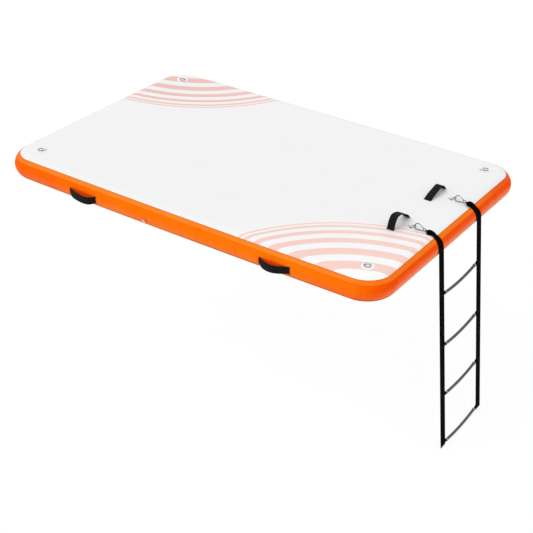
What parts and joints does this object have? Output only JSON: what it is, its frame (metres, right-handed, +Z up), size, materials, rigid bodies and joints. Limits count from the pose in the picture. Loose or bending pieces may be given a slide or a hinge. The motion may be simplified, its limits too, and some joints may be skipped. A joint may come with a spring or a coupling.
{
  "type": "inflatable dock platform",
  "caption": "Floating drop-stitch air deck with rounded corners, webbing carry handles, tie rings, an air valve and a webbing ladder clipped on at one end.",
  "frame": {"origin": "centre of the deck's flat underside", "axes": "+Z up through the deck, +X along its length towards the ladder's end, +Y across it"},
  "size_m": [2.9137, 1.9416, 1.4992],
  "materials": {
    "deck_sheet": "coated fabric, semi-matt",
    "patch_sheet": "coated fabric patch, semi-matt",
    "side_sheet": "coated fabric, satin",
    "core_fabric": "drop-stitch threads, unseen",
    "webbing": "woven polyester webbing",
    "rung_tube": "ribbed flexible tube",
    "stainless": "polished stainless wire",
    "valve_orange": "moulded, satin",
    "valve_stem": "moulded, satin"
  },
  "bodies": {
    "dock": {"deck_skin": "deck_sheet", "base_skin": "deck_sheet", "corner_patch_1": "patch_sheet", "corner_patch_2": "patch_sheet", "corner_patch_3": "patch_sheet", "corner_patch_4": "patch_sheet", "ladder_patch_left": "patch_sheet", "ladder_patch_right": "patch_sheet", "sidewall": "side_sheet", "deck_seam_tape": "side_sheet", "base_seam_tape": "side_sheet", "sidewall_joint_patch": "side_sheet", "drop_stitch_core": "core_fabric", "deck_handle_left": "webbing", "deck_handle_right": "webbing", "side_handle_1": "webbing", "side_handle_2": "webbing", "side_handle_3": "webbing", "side_handle_4": "webbing", "shoulder_strap_left": "webbing", "shoulder_strap_right": "webbing", "ladder_ring_left": "stainless", "ladder_ring_right": "stainless", "snap_hook_left": "stainless", "snap_hook_right": "stainless", "valve_body": "valve_orange"},
    "tie_ring_1": {"corner_ring_1": "stainless"},
    "tie_ring_2": {"corner_ring_2": "stainless"},
    "tie_ring_3": {"corner_ring_3": "stainless"},
    "tie_ring_4": {"corner_ring_4": "stainless"},
    "gate_left": {"snap_gate_left": "stainless"},
    "gate_right": {"snap_gate_right": "stainless"},
    "ladder_1": {"rail_1_left": "webbing", "rail_1_right": "webbing", "rung_1": "rung_tube", "rung_strap_1": "webbing"},
    "ladder_2": {"rail_2_left": "webbing", "rail_2_right": "webbing", "rung_2": "rung_tube", "rung_strap_2": "webbing"},
    "ladder_3": {"rail_3_left": "webbing", "rail_3_right": "webbing", "rung_3": "rung_tube", "rung_strap_3": "webbing"},
    "ladder_4": {"rail_4_left": "webbing", "rail_4_right": "webbing", "rung_4": "rung_tube", "rung_strap_4": "webbing"},
    "cap": {"valve_cap": "valve_orange"},
    "stem": {"valve_stem": "valve_stem"}
  },
  "joints": [
    {"name": "tie_ring_1_swing", "type": "hinge", "parent": "dock", "child": "tie_ring_1", "pos_m": [1.18639, -0.72739, 0.16541], "axis": [-0.7071, -0.7071, 0], "range_deg": [0, 180]},
    {"name": "tie_ring_2_swing", "type": "hinge", "parent": "dock", "child": "tie_ring_2", "pos_m": [1.18639, 0.72739, 0.16541], "axis": [0.7071, -0.7071, 0], "range_deg": [0, 180]},
    {"name": "tie_ring_3_swing", "type": "hinge", "parent": "dock", "child": "tie_ring_3", "pos_m": [-1.18639, 0.72739, 0.16541], "axis": [0.7071, 0.7071, 0], "range_deg": [0, 180]},
    {"name": "tie_ring_4_swing", "type": "hinge", "parent": "dock", "child": "tie_ring_4", "pos_m": [-1.18639, -0.72739, 0.16541], "axis": [-0.7071, 0.7071, 0], "range_deg": [0, 180]},
    {"name": "gate_left_hinge", "type": "hinge", "parent": "dock", "child": "gate_left", "pos_m": [1.24818, -0.20609, 0.18399], "axis": [-0.0735, -0.8173, 0.5716], "range_deg": [0, 30], "stiffness_Nm_per_rad": 0.1, "springref_deg": -17.19},
    {"name": "gate_right_hinge", "type": "hinge", "parent": "dock", "child": "gate_right", "pos_m": [1.27718, 0.24691, 0.18399], "axis": [-0.0735, -0.8173, 0.5716], "range_deg": [0, 30], "stiffness_Nm_per_rad": 0.1, "springref_deg": -17.19},
    {"name": "ladder_swing", "type": "hinge", "parent": "dock", "child": "ladder_1", "pos_m": [1.37793, 0.047, 0.05904], "axis": [0, -1, 0], "range_deg": [-35, 95]},
    {"name": "ladder_fold_1", "type": "hinge", "parent": "ladder_1", "child": "ladder_2", "pos_m": [1.41357, 0.047, -0.23984], "axis": [0, 1, 0], "range_deg": [-90, 90]},
    {"name": "ladder_fold_2", "type": "hinge", "parent": "ladder_2", "child": "ladder_3", "pos_m": [1.45477, 0.047, -0.58539], "axis": [0, -1, 0], "range_deg": [-90, 90]},
    {"name": "ladder_fold_3", "type": "hinge", "parent": "ladder_3", "child": "ladder_4", "pos_m": [1.49598, 0.047, -0.93095], "axis": [0, 1, 0], "range_deg": [-90, 90]},
    {"name": "cap_turn", "type": "hinge", "parent": "dock", "child": "cap", "pos_m": [-0.212, -0.91824, 0.058], "axis": [0, -0.9519, -0.3063], "range_deg": [0, 90]},
    {"name": "stem_push", "type": "slide", "parent": "dock", "child": "stem", "axis": [0, 0.9519, 0.3063], "range_m": [0, 0.005], "stiffness_N_per_m": 300, "springref_m": -0.003}
  ]
}
